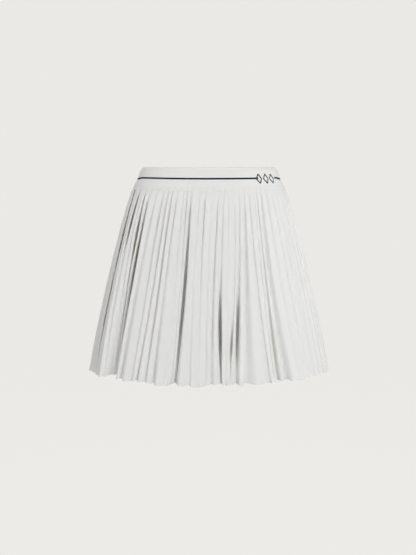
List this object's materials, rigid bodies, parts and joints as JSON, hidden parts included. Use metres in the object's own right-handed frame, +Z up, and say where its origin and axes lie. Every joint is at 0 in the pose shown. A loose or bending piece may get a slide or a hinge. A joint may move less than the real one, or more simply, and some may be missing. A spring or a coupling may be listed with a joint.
{
  "type": "pleated skort",
  "caption": "Pleated tennis skort in its worn shape: a knit waistband with one fine stripe, a fan-pleated skirt and fitted inner shorts, hollow with no wearer.",
  "frame": {"origin": "middle of the waistband, on the body's axis, half way up the band, where the wearer's waist holds it", "axes": "+X towards the wearer's left, -Y towards the front, +Z up along the body"},
  "size_m": [0.4338, 0.346, 0.3708],
  "materials": {
    "band_knit": "white rib knit over elastic with one fine navy stripe",
    "pleated_cloth": "matt white plain-woven polyester, heat-pressed in fine pleats",
    "shorts_knit": "white stretch jersey"
  },
  "bodies": {
    "root": {"waistband": "band_knit", "skirt_front": "pleated_cloth", "skirt_back": "pleated_cloth", "shorts_leg_left": "shorts_knit", "shorts_leg_right": "shorts_knit"}
  },
  "joints": []
}
